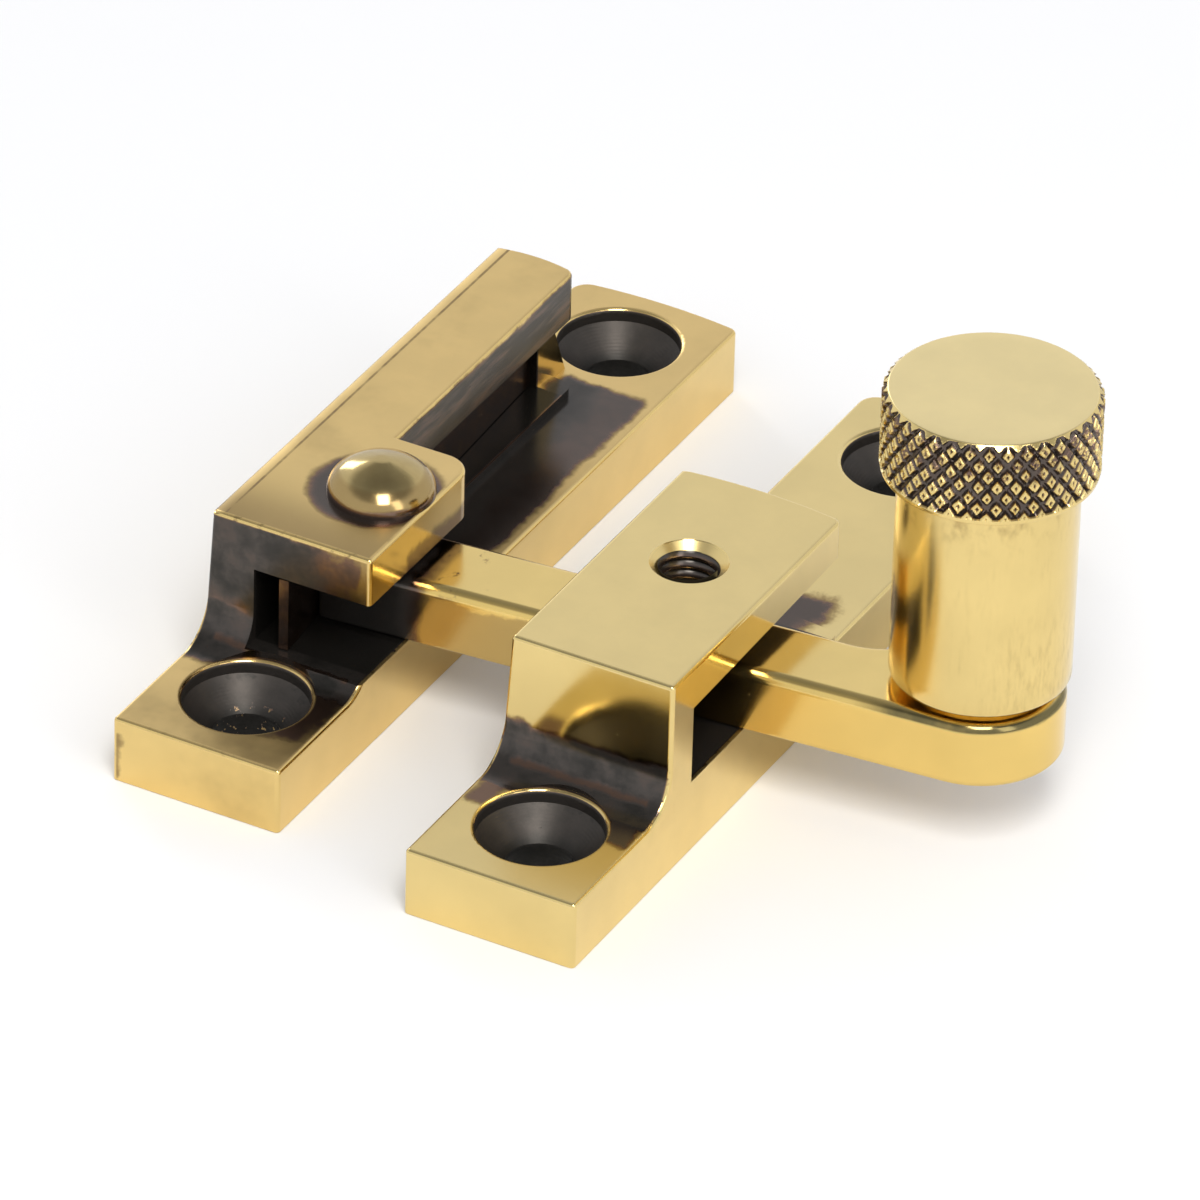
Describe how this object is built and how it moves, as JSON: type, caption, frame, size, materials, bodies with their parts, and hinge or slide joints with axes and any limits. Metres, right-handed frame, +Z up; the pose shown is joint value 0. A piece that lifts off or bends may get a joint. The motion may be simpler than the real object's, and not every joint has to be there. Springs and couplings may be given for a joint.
{
  "type": "sash window hook fastener",
  "caption": "Narrow cast sash fastener: base plate with a pivoting hook arm and tall knurled knob, and a separate C-shaped keep with a locking-screw hole.",
  "frame": {"origin": "midway between the base plate's two fixing holes, on the plate's underside", "axes": "+Z up from the plates' undersides, +Y along the plates from the post end to the bar end, +X from the base to the keep, along the closed arm"},
  "size_m": [0.0595, 0.0697, 0.0338],
  "materials": {
    "base_brass": "polished cast brass, aged brown and purple in the recesses",
    "keep_brass": "polished cast brass, lightly aged in the cove and slot",
    "arm_brass": "polished brass bar, fine brush marks",
    "knob_brass": "turned and polished brass, knurled band with dark grooves",
    "rivet_brass": "polished brass",
    "screw_brass": "turned brass, slotted",
    "spring_bronze": "aged phosphor bronze strip"
  },
  "bodies": {
    "base_half": {"base": "base_brass", "leaf_spring": "spring_bronze", "pivot_rivet": "rivet_brass", "pivot_washer": "rivet_brass"},
    "arm": {"hook_arm": "arm_brass", "knob": "knob_brass", "knob_screw": "screw_brass"},
    "keep_half": {"keep": "keep_brass"}
  },
  "joints": [
    {"name": "arm_swing", "type": "hinge", "parent": "base_half", "child": "arm", "pos_m": [0.00272, -0.0129, 0.0082], "axis": [0, 0, 1], "range_deg": [-5.05, 84.95], "deforming": ["leaf_spring"]},
    {"name": "keep_slide", "type": "slide", "parent": "base_half", "child": "keep_half", "axis": [0, -1, 0], "range_m": [0, 0.04]}
  ]
}
